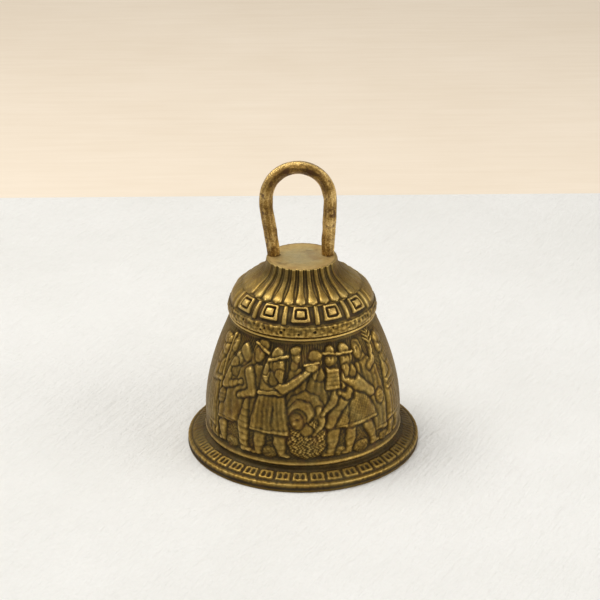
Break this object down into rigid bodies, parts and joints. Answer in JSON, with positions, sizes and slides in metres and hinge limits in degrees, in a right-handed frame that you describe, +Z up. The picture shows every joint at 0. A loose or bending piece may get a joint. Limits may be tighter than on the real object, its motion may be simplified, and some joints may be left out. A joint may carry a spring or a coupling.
{
  "type": "brass puja bell",
  "caption": "Brass prayer hand bell with a flared rim, relief-cast body and fluted crown, a bent-bar finger loop on top and a ball clapper hung inside.",
  "frame": {"origin": "centre of the mouth, in the plane of the rim that the bell stands on", "axes": "+Z up the bell's own axis to the finger loop; +X to the right across the loop, in the loop's plane; +Y through the loop, away from the front"},
  "size_m": [0.08, 0.08, 0.1015],
  "materials": {
    "cast_brass": "aged sand-cast brass, dark patina in the recesses and rubbed bright on the high spots",
    "loop_brass": "hammered bar, rubbed smooth by handling",
    "clapper_brass": "turned and drawn brass, dulled"
  },
  "bodies": {
    "bell": {"bell_casting": "cast_brass", "handle_loop": "loop_brass", "handle_burr_left": "clapper_brass", "handle_burr_right": "clapper_brass", "clapper_staple": "clapper_brass"},
    "link": {"clapper_link": "clapper_brass"},
    "clapper": {"clapper_rod": "clapper_brass", "clapper_ball": "clapper_brass"}
  },
  "joints": [
    {"name": "link_swing", "type": "hinge", "parent": "bell", "child": "link", "pos_m": [0, 0, 0.0586], "axis": [1, 0, 0], "range_deg": [-10, 10]},
    {"name": "clapper_swing", "type": "hinge", "parent": "link", "child": "clapper", "pos_m": [0, 0, 0.0526], "axis": [0, 1, 0], "range_deg": [-33, 33]}
  ]
}
